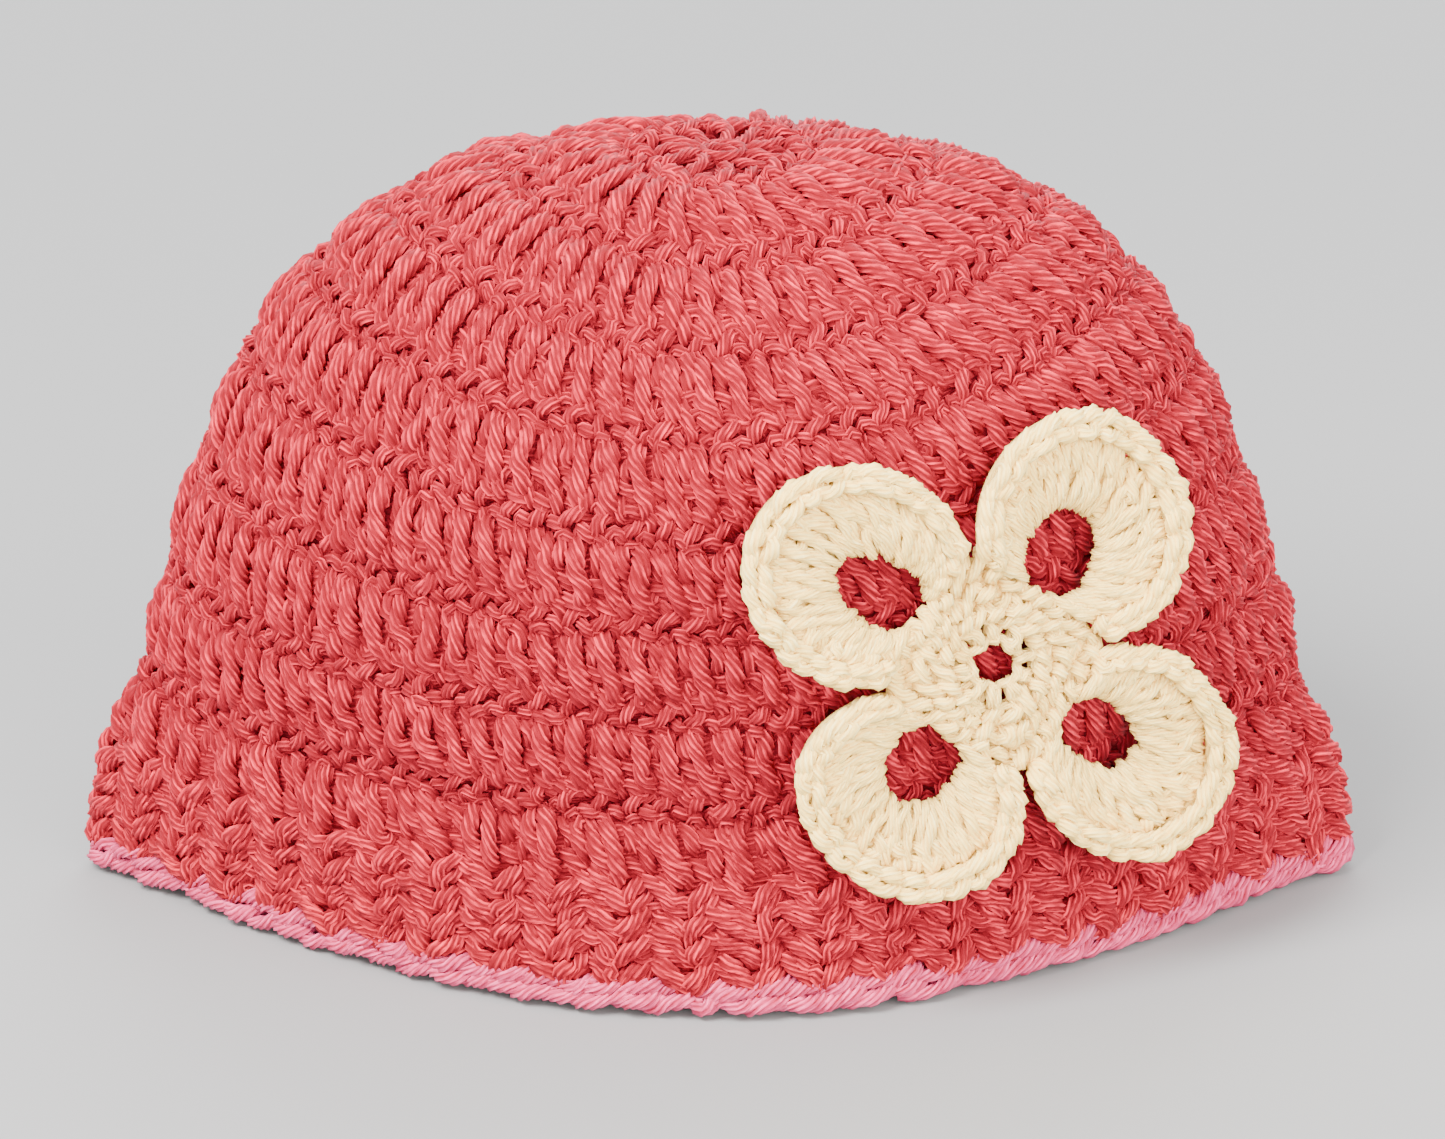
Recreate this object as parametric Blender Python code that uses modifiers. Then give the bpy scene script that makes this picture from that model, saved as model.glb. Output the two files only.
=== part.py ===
"""Crocheted baby cap with a sewn-on flower, standing on its hem with the crown up.

The cap is worked in rounds from the crown, and each round is a solid ring of fabric. The flower
lies on the front, to the right of the middle, and its petals hinge at the square centre.
Lengths here are in millimetres. X runs along the cap's width, and -Y is the front.
"""

import math

import bpy
import numpy as np
from mathutils import Matrix, Vector

MM = 0.001
OBJECT_NAME = "crochet_cap"

# The fabric.
WALL = 3.4
ROUND_GAP = 0.6
RIDGE_SHARE = 0.3

# How far the cap's middle lies behind the origin, which is under the middle of cap and flower together.
CAP_BACK = 4.27

# The cap's courses, from the crown's middle to the hem. Each row is the line along a ridge round:
# half width, depth from the middle, forward shift, height at the sides, height at the front.
COURSES = (
    (0.0, 0.0, 6.0, 109.0, 109.0),
    (12.5, 12.0, 5.5, 109.0, 108.5),
    (29.0, 24.0, 4.5, 107.0, 101.0),
    (44.3, 35.5, 3.0, 100.5, 92.0),
    (56.0, 44.5, 1.5, 90.3, 82.0),
    (65.0, 50.0, 0.5, 77.5, 69.3),
    (71.5, 51.5, 0.0, 61.8, 56.3),
    (76.2, 51.0, 0.0, 45.5, 43.0),
    (80.5, 50.5, 0.0, 30.0, 29.5),
    (86.3, 51.5, 0.0, 14.5, 14.5),
    (88.5, 52.5, 0.0, 0.0, 0.0),
)
HEM = len(COURSES) - 1
LAST_RIDGE = 8
POST_ROUNDS = 7
BRIM_ROUNDS = 3
HEM_EDGE_START = 9.78
HEM_OVERRUN = 0.06
CROWN_ROUND_START = 0.36

# How pointed the rings are at the cap's sides, where it folds flat: 1 is an ellipse, 2 is a lens with
# two corners. CORNER_ROUND is the share of a ring's depth that stays an ellipse.
BODY_POINT = 1.25
HEM_POINT = 2.6
POINT_STARTS = 7.0
CORNER_ROUND = 0.1

# How finely the solids are faceted, and how finely a course is measured along its length.
RING_FACETS = 36
SAMPLES = 721

# The ring that the crown is worked into.
START_RING_RADIUS = 2.7
START_RING_YARN = 1.0

# The flower: where its middle lies on the cap, how far it is from following the cap's bend, how far
# its sewing draws it out sideways, and how it leans across the rounds.
FLOWER_COURSE = 6.51
FLOWER_ACROSS = 36.4
FLOWER_STIFFNESS = 0.5
FLOWER_SPREAD = 1.04
FLOWER_LEAN = -0.227
FLOWER_LIFT = 4.5
FLOWER_WALL = 2.4
CENTER_HALF_SIDE = 11.7
CENTER_CORNER = 3.5
CENTER_HOLE = 2.8
CENTER_FACETS = 32

# One petal: a horseshoe round its hole, from the root line outwards.
PETAL_TURNS = (
    ("upper_right", 56.0),
    ("lower_right", -34.0),
    ("lower_left", -123.5),
    ("upper_left", 146.5),
)
PETAL_ROOT = 12.4
PETAL_HOLE_AT = 17.6
PETAL_HOLE_SIDE = 5.6
PETAL_HOLE_TIP = 7.2
PETAL_HOLE_PINCH = 1.7
PETAL_RIM_ROOT = 12.4
PETAL_RIM_TIP = 20.3
PETAL_RIM_SHAPE = 1.3
PETAL_CUP = 1.4
PETAL_FACETS = 20
EDGING_WIDTH = 3.8
EDGING_GAP = 0.7
EDGING_WALL = 3.0
EDGING_RISE = 0.8

# The petals' hinge lines, at the top of their roots.
HINGE_HALF = 8.0
HINGE_LIFT = FLOWER_LIFT + 0.5 * FLOWER_WALL + 0.4

# The running stitches under the flower's centre.
SEWING_RADIUS = 8.0
SEWING_YARN = 0.9
SEWING_LIFT = 2.5
SEWING_FACETS = 28

CORAL = (0.72, 0.13, 0.12, 1.0)
CREAM = (0.86, 0.76, 0.55, 1.0)


def clear_scene():
    for old in list(bpy.data.objects):
        bpy.data.objects.remove(old, do_unlink=True)


def new_collection(name):
    collection = bpy.data.collections.new(name)
    bpy.context.scene.collection.children.link(collection)
    return collection


def yarn_material(name, color):
    material = bpy.data.materials.new(name)
    material.use_nodes = True
    shader = material.node_tree.nodes["Principled BSDF"]
    shader.inputs["Base Color"].default_value = color
    shader.inputs["Roughness"].default_value = 0.85
    shader.inputs["Metallic"].default_value = 0.0
    return material


def course_value(column, course):
    """The value of one column of COURSES at any place between courses, on a smooth curve."""
    values = [row[column] for row in COURSES]
    sign = -1.0 if column in (0, 1) else 1.0
    before = sign * values[1]
    after = 2.0 * values[-1] - values[-2]
    padded = np.array([before] + values + [after])
    start = int(min(max(math.floor(course), 0), HEM - 1))
    t = course - start
    p0, p1, p2, p3 = padded[start:start + 4]
    slope_in = 0.5 * (p2 - p0)
    slope_out = 0.5 * (p3 - p1)
    curve = 2.0 * t ** 3 - 3.0 * t ** 2
    return (
        (curve + 1.0) * p1
        - curve * p2
        + (t ** 3 - 2.0 * t ** 2 + t) * slope_in
        + (t ** 3 - t ** 2) * slope_out
    )


def ring_shape(course, angles):
    """Points of the cap's middle surface along one course. Angle 0 is the front, 90 degrees is +X."""
    half_width, depth, forward, side_height, front_height = (
        course_value(column, course) for column in range(5)
    )
    blend = min(max((course - POINT_STARTS) / (HEM - POINT_STARTS), 0.0), 1.0)
    point = BODY_POINT + (HEM_POINT - BODY_POINT) * blend
    cosine = np.cos(angles)
    lens = np.sign(cosine) * np.abs(cosine) ** point
    x = half_width * np.sin(angles)
    y = CAP_BACK - forward - depth * (lens + (cosine - lens) * CORNER_ROUND)
    z = side_height + (front_height - side_height) * cosine ** 2
    return np.stack([x, y, z], axis=-1)


def ring_table(course):
    """The angles of one course and the length along it from the front, for reading one from the other."""
    angles = np.linspace(-math.pi, math.pi, SAMPLES)
    steps = np.linalg.norm(np.diff(ring_shape(course, angles), axis=0), axis=1)
    lengths = np.concatenate([[0.0], np.cumsum(steps)])
    return angles, lengths - 0.5 * lengths[-1]


def ring_point(course, share):
    """The cap's middle surface at a share of the way round, -0.5 to 0.5, with 0 at the front."""
    angles, lengths = ring_table(course)
    angle = np.interp(share * (lengths[-1] - lengths[0]), lengths, angles)
    return ring_shape(course, np.array([angle]))[0]


def add_object(name, mesh, material, collection):
    piece = bpy.data.objects.new(name, mesh)
    collection.objects.link(piece)
    mesh.materials.append(material)
    for polygon in mesh.polygons:
        polygon.use_smooth = True
    mesh.set_sharp_from_angle(angle=math.radians(45.0))
    return piece


def sheet_mesh(name, rows, closed):
    """An open surface lofted through rows of points, in metres. closed joins each row's ends."""
    count = len(rows[0])
    verts = [tuple(point * MM) for row in rows for point in row]
    spans = count if closed else count - 1
    faces = []
    for r in range(len(rows) - 1):
        for c in range(spans):
            after = (c + 1) % count
            faces.append((r * count + c, (r + 1) * count + c, (r + 1) * count + after, r * count + after))
    mesh = bpy.data.meshes.new(name)
    mesh.from_pydata(verts, [], faces)
    mesh.update()
    return mesh


def thicken(piece, thickness):
    shell = piece.modifiers.new("fabric_thickness", "SOLIDIFY")
    shell.thickness = thickness * MM
    shell.offset = 0.0


def cap_round(name, start, end, steps, material, collection):
    """One round of the cap: a ring of fabric between two courses."""
    shares = (np.arange(RING_FACETS) / RING_FACETS) - 0.5
    rows = []
    for course in np.linspace(start, end, steps + 1):
        rows.append([ring_point(course, share) for share in shares])
    piece = add_object(name, sheet_mesh(name, rows, True), material, collection)
    thicken(piece, WALL)
    return piece


def course_length(course):
    """The height of one course, measured down the front beside the flower."""
    step = 0.25
    share = FLOWER_ACROSS / ring_length(course)
    return np.linalg.norm(ring_point(course + step, share) - ring_point(course - step, share)) / (2.0 * step)


def ring_length(course):
    lengths = ring_table(course)[1]
    return lengths[-1] - lengths[0]


def cap_rounds(material, collection):
    """The cap's rounds, in the order in which they are worked."""
    half_ridge = 0.5 * RIDGE_SHARE
    gap = ROUND_GAP / course_length(FLOWER_COURSE)
    first_ridge = 1.0 - half_ridge
    cap_round("crown_round", CROWN_ROUND_START, first_ridge - gap, 2, material, collection)
    for number in range(1, LAST_RIDGE + 1):
        name = f"ridge_round_{number}"
        cap_round(name, number - half_ridge, number + half_ridge, 1, material, collection)
    for number in range(1, POST_ROUNDS + 1):
        start = number + half_ridge + gap
        end = number + 1.0 - half_ridge - gap
        cap_round(f"post_round_{number}", start, end, 2, material, collection)
    brim_start = LAST_RIDGE + half_ridge
    brim_step = (HEM_EDGE_START - brim_start) / BRIM_ROUNDS
    for number in range(BRIM_ROUNDS):
        start = brim_start + number * brim_step + gap
        end = brim_start + (number + 1) * brim_step
        cap_round(f"brim_round_{number + 1}", start, end, 1, material, collection)


def hem_edge(material, collection, cutters):
    """The last round, trimmed flat underneath, because the cap stands on it."""
    gap = ROUND_GAP / course_length(FLOWER_COURSE)
    piece = cap_round("hem_edge", HEM_EDGE_START + gap, HEM + HEM_OVERRUN, 1, material, collection)
    depth = 20.0 * MM
    bpy.ops.mesh.primitive_cube_add(size=1.0, location=(0.0, 0.0, -0.5 * depth))
    cutter = bpy.context.object
    cutter.name = "floor_cutter"
    cutter.scale = (0.3, 0.3, depth)
    bpy.ops.object.transform_apply(location=False, rotation=False, scale=True)
    for home in list(cutter.users_collection):
        home.objects.unlink(cutter)
    cutters.objects.link(cutter)
    cutter.hide_render = True
    cutter.display_type = "WIRE"
    trim = piece.modifiers.new("flat_underside", "BOOLEAN")
    trim.operation = "DIFFERENCE"
    trim.solver = "EXACT"
    trim.object = cutter


def start_ring(material, collection):
    """The small loop at the crown's middle."""
    middle = ring_point(0.02, 0.0)
    bpy.ops.mesh.primitive_torus_add(
        major_segments=20,
        minor_segments=8,
        major_radius=START_RING_RADIUS * MM,
        minor_radius=START_RING_YARN * MM,
        location=tuple(middle * MM),
    )
    ring = bpy.context.object
    ring.name = "start_ring"
    for home in list(ring.users_collection):
        home.objects.unlink(ring)
    collection.objects.link(ring)
    ring.data.materials.append(material)
    ring.data.shade_smooth()


def cap_frame(across, up):
    """The cap's surface and outward normal at a place given in the flower's own plane."""
    course = FLOWER_COURSE - up / course_length(FLOWER_COURSE)

    def place(course_here, across_here):
        return ring_point(course_here, (FLOWER_ACROSS + across_here) / ring_length(course_here))

    step = 0.5
    rise = step / course_length(FLOWER_COURSE)
    along = place(course, across + step) - place(course, across - step)
    down = place(course + rise, across) - place(course - rise, across)
    normal = np.cross(down, along)
    return place(course, across), normal / np.linalg.norm(normal), along / np.linalg.norm(along)


def flower_plane():
    """The flower's middle on the cap, with its outward, across and up directions."""
    middle, normal, along = cap_frame(0.0, 0.0)
    across = along - normal * along.dot(normal)
    across /= np.linalg.norm(across)
    return middle, normal, across, np.cross(normal, across)


def flower_point(across, up, lift):
    """A point of the flower. It follows the cap's bend only in part, as its fabric is stiffer."""
    up += across * FLOWER_LEAN
    across *= FLOWER_SPREAD
    surface, normal, _ = cap_frame(across, up)
    middle, plane_normal, plane_across, plane_up = PLANE
    flat = middle + plane_across * across + plane_up * up
    bend = surface + (flat - surface) * FLOWER_STIFFNESS
    facing = normal + (plane_normal - normal) * FLOWER_STIFFNESS
    return bend + facing / np.linalg.norm(facing) * lift


def flower_center(material, collection):
    """The square centre of the flower, lofted from its round hole to its rounded square rim."""
    rows = []
    turns = np.arange(CENTER_FACETS) / CENTER_FACETS * 2.0 * math.pi
    base_turn = math.radians(PETAL_TURNS[0][1])
    for share in (0.0, 0.5, 1.0):
        row = []
        for turn in turns:
            hole = Vector((math.cos(turn), math.sin(turn))) * CENTER_HOLE
            rim = rounded_square(turn)
            flat = hole.lerp(rim, share)
            flat.rotate(Matrix.Rotation(base_turn, 2))
            row.append(flower_point(flat.x, flat.y, FLOWER_LIFT))
        rows.append(row)
    piece = add_object("flower_center", sheet_mesh("flower_center", rows, True), material, collection)
    thicken(piece, FLOWER_WALL)


def rounded_square(turn):
    """A square rim with round corners, at one direction from its middle."""
    reach = CENTER_HALF_SIDE / max(abs(math.cos(turn)), abs(math.sin(turn)))
    corner_reach = CENTER_HALF_SIDE * math.sqrt(2.0) - CENTER_CORNER * (math.sqrt(2.0) - 1.0)
    reach = min(reach, corner_reach)
    return Vector((math.cos(turn), math.sin(turn))) * reach


def petal_half_turn(radius):
    """The angle at the hole's middle where an arc of this radius meets the petal's straight root line."""
    return math.acos(-(PETAL_HOLE_AT - PETAL_ROOT) / radius)


def petal_place(share, radius, end_radius, petal_turn):
    """A place in the flower's plane: share runs -1 to 1 round the petal, at a radius from its hole."""
    angle = share * petal_half_turn(end_radius)
    flat = Vector((PETAL_HOLE_AT + radius * math.cos(angle), radius * math.sin(angle)))
    flat.rotate(Matrix.Rotation(petal_turn, 2))
    return flat


def petal_rim(share):
    swell = max(math.cos(0.5 * math.pi * share), 0.0) ** PETAL_RIM_SHAPE
    return PETAL_RIM_ROOT + (PETAL_RIM_TIP - PETAL_RIM_ROOT) * swell


def petal_hole(share):
    """The hole's radius: longest at the petal's tip, and pinched in at both sides."""
    swell = max(math.cos(0.5 * math.pi * share), 0.0)
    pinch = PETAL_HOLE_PINCH * math.sin(math.pi * share) ** 2
    return PETAL_HOLE_SIDE + (PETAL_HOLE_TIP - PETAL_HOLE_SIDE) * swell - pinch


def petal_cup(share):
    """How far the petal's fabric has risen where it meets its edging."""
    reach = petal_rim(share) - EDGING_WIDTH - petal_hole(share)
    full_reach = PETAL_RIM_TIP - EDGING_WIDTH - PETAL_HOLE_TIP
    return PETAL_CUP * reach / full_reach


def petal_row(outward, inset, petal_turn):
    """One row of a petal. outward runs from 0 at the hole to 1 at the rim, less an inset there."""
    row = []
    end_radius = PETAL_HOLE_SIDE + (PETAL_RIM_ROOT - EDGING_WIDTH - PETAL_HOLE_SIDE) * outward
    for share in np.linspace(-1.0, 1.0, PETAL_FACETS + 1):
        hole = petal_hole(share)
        radius = hole + (petal_rim(share) - EDGING_WIDTH - hole) * outward - inset
        flat = petal_place(share, radius, end_radius, petal_turn)
        row.append(flower_point(flat.x, flat.y, FLOWER_LIFT + petal_cup(share) * outward))
    return row


def edging_row(inset, petal_turn):
    """One row of a petal's edging, inset from the rim."""
    row = []
    for share in np.linspace(-1.0, 1.0, PETAL_FACETS + 1):
        radius = petal_rim(share) - inset
        flat = petal_place(share, radius, PETAL_RIM_ROOT - inset, petal_turn)
        row.append(flower_point(flat.x, flat.y, FLOWER_LIFT + petal_cup(share) + EDGING_RISE))
    return row


def petal_hinge(place, degrees, collection):
    """An empty on the petal's hinge line: the top of its root, with +X along the joint's axis."""
    turn = math.radians(degrees)
    ends = []
    for side in (HINGE_HALF, -HINGE_HALF):
        flat = Vector((PETAL_ROOT, side))
        flat.rotate(Matrix.Rotation(turn, 2))
        ends.append(Vector(flower_point(flat.x, flat.y, HINGE_LIFT)) * MM)
    hinge = bpy.data.objects.new(f"hinge_{place}", None)
    hinge.empty_display_size = HINGE_HALF * MM
    hinge.location = ends[0].lerp(ends[1], 0.5)
    hinge.rotation_mode = "QUATERNION"
    hinge.rotation_quaternion = (ends[1] - ends[0]).to_track_quat("X", "Z")
    collection.objects.link(hinge)
    return hinge


def hang_on(piece, hinge):
    """Makes a hinge the parent of a piece that stays where it is."""
    bpy.context.view_layer.update()
    piece.parent = hinge
    piece.matrix_parent_inverse = hinge.matrix_world.inverted()


def petal(place, degrees, material, collection):
    """A petal's horseshoe of tall stitches, cupped towards its rim."""
    turn = math.radians(degrees)
    rows = [petal_row(0.0, 0.0, turn), petal_row(0.5, 0.0, turn), petal_row(1.0, EDGING_GAP, turn)]
    name = f"petal_{place}"
    piece = add_object(name, sheet_mesh(name, rows, False), material, collection)
    thicken(piece, FLOWER_WALL)
    return piece


def petal_edging(place, degrees, material, collection):
    """The raised braid along a petal's rim."""
    turn = math.radians(degrees)
    rows = [edging_row(EDGING_WIDTH, turn), edging_row(0.0, turn)]
    name = f"edging_{place}"
    piece = add_object(name, sheet_mesh(name, rows, False), material, collection)
    thicken(piece, EDGING_WALL)
    return piece


def petals(material, collection):
    for place, degrees in PETAL_TURNS:
        hinge = petal_hinge(place, degrees, collection)
        hang_on(petal(place, degrees, material, collection), hinge)
        hang_on(petal_edging(place, degrees, material, collection), hinge)


def sewing_yarn(material, collection):
    """The running stitches that hold the flower, as one round of yarn between it and the cap."""
    curve = bpy.data.curves.new("sewing_yarn", "CURVE")
    curve.dimensions = "3D"
    curve.bevel_depth = 0.5 * SEWING_YARN * MM
    curve.bevel_resolution = 2
    spline = curve.splines.new("POLY")
    spline.points.add(SEWING_FACETS - 1)
    for number, point in enumerate(spline.points):
        turn = 2.0 * math.pi * number / SEWING_FACETS
        surface, normal, _ = cap_frame(SEWING_RADIUS * math.cos(turn), SEWING_RADIUS * math.sin(turn))
        point.co = (*((surface + normal * SEWING_LIFT) * MM), 1.0)
    spline.use_cyclic_u = True
    piece = bpy.data.objects.new("sewing_yarn", curve)
    curve.materials.append(material)
    collection.objects.link(piece)


clear_scene()
parts = new_collection(OBJECT_NAME)
cutters = new_collection("cutters")
coral = yarn_material("coral_yarn", CORAL)
cream = yarn_material("cream_yarn", CREAM)
PLANE = flower_plane()
start_ring(coral, parts)
cap_rounds(coral, parts)
hem_edge(coral, parts, cutters)
sewing_yarn(cream, parts)
flower_center(cream, parts)
petals(cream, parts)
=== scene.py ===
"""Looks of a crocheted baby cap: every round is plied yarn, laid along the paths of its stitches.

Lengths are in millimetres until a mesh is made. A stitch is a list of control points, each
(across, down, out): across as a share of the stitch's own width, down as a share of its row's
height, and out in millimetres from the middle of the fabric, with plus towards the right side.
"""

import math

import bpy
import numpy as np
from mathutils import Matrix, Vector


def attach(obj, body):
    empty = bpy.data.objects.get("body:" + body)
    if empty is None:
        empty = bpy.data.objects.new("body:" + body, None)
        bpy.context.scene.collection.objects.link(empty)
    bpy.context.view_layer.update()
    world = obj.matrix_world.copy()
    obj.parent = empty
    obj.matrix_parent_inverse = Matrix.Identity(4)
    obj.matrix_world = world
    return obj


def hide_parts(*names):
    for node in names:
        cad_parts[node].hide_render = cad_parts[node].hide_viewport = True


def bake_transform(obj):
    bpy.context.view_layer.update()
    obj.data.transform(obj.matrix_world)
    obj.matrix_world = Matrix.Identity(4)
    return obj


MM = 0.001
SEED = 7

# The cap's middle surface, as in the CAD: half width, depth, forward shift, side and front height.
CAP_BACK = 4.27
COURSES = (
    (0.0, 0.0, 6.0, 109.0, 109.0),
    (12.5, 12.0, 5.5, 109.0, 108.5),
    (29.0, 24.0, 4.5, 107.0, 101.0),
    (44.3, 35.5, 3.0, 100.5, 92.0),
    (56.0, 44.5, 1.5, 90.3, 82.0),
    (65.0, 50.0, 0.5, 77.5, 69.3),
    (71.5, 51.5, 0.0, 61.8, 56.3),
    (76.2, 51.0, 0.0, 45.5, 43.0),
    (80.5, 50.5, 0.0, 30.0, 29.5),
    (86.3, 51.5, 0.0, 14.5, 14.5),
    (88.5, 52.5, 0.0, 0.0, 0.0),
)
HEM = len(COURSES) - 1
BODY_POINT = 1.25
HEM_POINT = 2.6
POINT_STARTS = 7.0
CORNER_ROUND = 0.1
HALF_RIDGE = 0.15
POST_ROUNDS = 7
RIDGE_ROUNDS = 8
BRIM_ROUNDS = 3

# The flower, as in the CAD.
FLOWER_COURSE = 6.51
FLOWER_ACROSS = 36.4
FLOWER_STIFFNESS = 0.5
FLOWER_SPREAD = 1.04
FLOWER_LEAN = -0.227
FLOWER_LIFT = 4.5
PETAL_TURNS = {"upper_right": 56.0, "lower_right": -34.0, "lower_left": -123.5, "upper_left": 146.5}
PETAL_ROOT = 12.4
PETAL_HOLE_AT = 17.6
PETAL_HOLE_SIDE = 5.6
PETAL_HOLE_TIP = 7.2
PETAL_HOLE_PINCH = 1.7
PETAL_RIM_ROOT = 12.4
PETAL_RIM_TIP = 20.3
PETAL_RIM_SHAPE = 1.3
PETAL_CUP = 1.4
EDGING_WIDTH = 3.8
EDGING_RISE = 0.8
HINGE_REACH = 3.0

# The table of places and normals on the cap's surface, in courses and in shares of the way round.
TABLE_FIRST = 0.05
TABLE_LAST = 10.4
TABLE_ROWS = 260
TABLE_COLUMNS = 1200
ANGLE_SAMPLES = 2881

# The yarn: the radius of its thickest strands, how it is plied, and how finely it is meshed. The
# profile is one ply's outline, from the groove beside it to its top, as shares of the radius.
YARN_RADIUS = 1.08
YARN_TWIST_LENGTH = 10.0
YARN_PLIES = 7
PLY_PROFILE = (0.70, 1.06)
PLY_WANDER = 0.10
PLY_WANDER_LENGTH = 6.5
PLY_WANDER_SHIFT = 2.4
YARN_SIDES = YARN_PLIES * len(PLY_PROFILE)
YARN_STEP = 0.80
SPAN_SAMPLES = 5
FRAME_GUIDE = (0.31, 0.52, 0.79)

# How uneven the handwork is: each point's wander, and each stitch's lean, lift and thickness.
WANDER = 0.3
OUT_WANDER = 0.8
STITCH_LEAN = 0.12
STITCH_LIFT = 0.22
YARN_UNEVENNESS = 0.12
RAISED_SWELL = 0.15
SIZE_LIMITS = (0.65, 1.35)

# The cap's rounds: their stitches, the radius of their yarn, and where it runs, in courses.
STITCH_WIDTH = 4.3
COUNTED_AT = 0.65
FABRIC_SINK = 0.5
RIDGE_RADIUS = 0.84
CROWN_RADIUS = 0.76
CROWN_POSTS = 11
CROWN_YARN_START = 0.30
CROWN_YARN_END = 0.86
RIBS = 46
RIB_ROWS = 2
RIB_RADIUS = 0.98
BRIM_YARN_END = 9.70
EDGE_RADIUS = 0.95
EDGE_YARN_START = 9.68
EDGE_YARN_END = 9.87

# The start ring in the middle of the crown.
START_TURNS = 2
START_POINTS = 24
START_COURSE = 0.235
START_SPREAD = 0.05
START_RISE = 0.5
START_RADIUS = 0.8

# The dense inner strands of a round, as a band: its outer face and its wall, how far it passes the
# round's two edges, and its ripple. The crown's band covers only the inner share of its round.
CORE_OUTER = 0.3
RIDGE_CORE_OUTER = -0.35
BRIM_CORE_OUTER = 0.45
CROWN_CORE_OUTER = -0.2
CROWN_CORE_SHARE = 0.45
CORE_WALL = 0.8
CORE_OVERLAP = 0.02
CORE_ROWS = 5
CORE_COLUMNS = 3
CORE_RIPPLE = 0.12
CORE_RIPPLE_DRIFT = 9.0

# How a band's plies show: how many from row to row, their slant, and their length in a column.
BAND_PLIES = 3.0
BAND_SLANT = 0.6
BAND_STEP = 1.4

# The flower's yarn. A strip of stitches has a thin band behind it and a strand that leads back.
PETAL_POSTS = 24
PETAL_YARN_RADIUS = 0.90
PETAL_YARN_START = 0.6
BRAID_LINKS = 23
BRAID_YARN_RADIUS = 0.92
STRIP_PITCH = 2.0
STRIP_HEIGHT = 8.0
STRIP_OVERRUN = 1.02
STRIP_RETURN = -1.2
STRIP_BAND_ROWS = (0.08, 0.36, 0.64, 0.92)
STRIP_BAND_OUTER = 0.1
STRIP_BAND_INNER = -0.8
CORNER_REACH = 1.3
CENTER_BAND_COLUMNS = 72
CENTER_BAND_OUTER = -0.2
CENTER_BAND_INNER = -0.9
SEWING_RADIUS = 8.0
SEWING_YARN_RADIUS = 0.45
SEWING_POINTS = 48
SEWING_STITCHES = 12
SEWING_LIFT = 2.5
SEWING_RISE = 0.5

# The looks of the yarn: its deep, middle and bright colours, and how much sheen it has. The deep colour
# also serves as painted shade and the bright one as painted highlight.
CORAL = ((0.14, 0.006, 0.009), (0.205, 0.009, 0.016), (0.86, 0.042, 0.070), 0.2)
CORAL_EDGE = ((0.24, 0.008, 0.020), (0.46, 0.042, 0.105), (0.88, 0.13, 0.27), 0.3)
CREAM = ((0.90, 0.54, 0.13), (1.0, 0.68, 0.185), (1.0, 0.83, 0.35), 0.2)

# A yarn's tone, from 0 at the deep colour to 1 at the bright one: what each pattern adds to it, and
# what is taken off the sum. The relief tone is painted shade: the further the yarn is set back, the
# darker it is, and relief counts from so far behind the fabric's middle. The ply tone is painted shade
# in the grooves between plies and painted highlight on their tops. The blotch tone is random, and also
# stands in for uneven painted highlights. A noise's size is given in repeats a ply and repeats a
# millimetre.
RELIEF_SHADE_TONE = 0.06
RELIEF_START = 0.9
PLY_SHADE_AND_HIGHLIGHT_TONE = 0.55
FIBRE_TONE = 0.34
BLOTCH_AND_HIGHLIGHT_TONE = 1.35
TONE_DROP = 0.86
FIBRE_SIZE = (5.0, 0.6)
BLOTCH_AND_HIGHLIGHT_SIZE = (1.4, 0.45)
PLY_BUMP = 0.5
BUMP_DEPTH = 0.00025

# Floor, world and lights, in metres. A light is its name, place, size, power and colour.
FLOOR_SIZE = 6.0
FLOOR_COLOR = (0.24, 0.24, 0.237)
WORLD_COLOR = (0.90, 0.92, 0.95)
WORLD_STRENGTH = 2.2
LIT_POINT = (0.0, 0.0, 0.05)
LIGHTS = (
    ("key", (-0.5, -0.55, 0.85), 0.6, 42.0, (1.0, 0.98, 0.98)),
    ("fill", (0.7, -0.6, 0.45), 0.9, 18.0, (1.0, 0.95, 0.92)),
    ("front", (0.1, -1.1, 0.22), 0.9, 22.0, (1.0, 0.98, 0.96)),
    ("back", (0.1, 0.8, 0.8), 0.7, 12.0, (0.97, 0.98, 1.0)),
)

# The camera, in metres: how high it looks from, how far, and the width it sees at that distance.
VIEW_ELEVATION = 22.0
VIEW_DISTANCE = 1.6
VIEW_WIDTH = 0.2023
VIEW_START = 0.05
SENSOR = 36.0
LOOK_AT = (0.0004, 0.00426, 0.0450)


# ---------------------------------------------------------------- the cap's surface

def course_values(courses):
    """The five columns of COURSES at any places between courses, on smooth curves."""
    values = np.array(COURSES)
    before = values[1] * np.array([-1.0, -1.0, 1.0, 1.0, 1.0])
    after = 2.0 * values[-1] - values[-2]
    padded = np.vstack([before, values, after])
    start = np.clip(np.floor(courses), 0, HEM - 1).astype(int)
    t = (courses - start)[:, None]
    p0, p1, p2, p3 = (padded[start + offset] for offset in range(4))
    curve = 2.0 * t ** 3 - 3.0 * t ** 2
    leaving = (t ** 3 - 2.0 * t ** 2 + t) * 0.5 * (p2 - p0)
    arriving = (t ** 3 - t ** 2) * 0.5 * (p3 - p1)
    return (curve + 1.0) * p1 - curve * p2 + leaving + arriving


def ring_shape(course, angles):
    """Points along one course. Angle 0 is the front, and a quarter turn is +X."""
    half_width, depth, forward, side_height, front_height = course_values(np.array([course]))[0]
    blend = min(max((course - POINT_STARTS) / (HEM - POINT_STARTS), 0.0), 1.0)
    point = BODY_POINT + (HEM_POINT - BODY_POINT) * blend
    cosine = np.cos(angles)
    lens = np.sign(cosine) * np.abs(cosine) ** point
    x = half_width * np.sin(angles)
    y = CAP_BACK - forward - depth * (lens + (cosine - lens) * CORNER_ROUND)
    z = side_height + (front_height - side_height) * cosine ** 2
    return np.stack([x, y, z], axis=-1)


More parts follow.
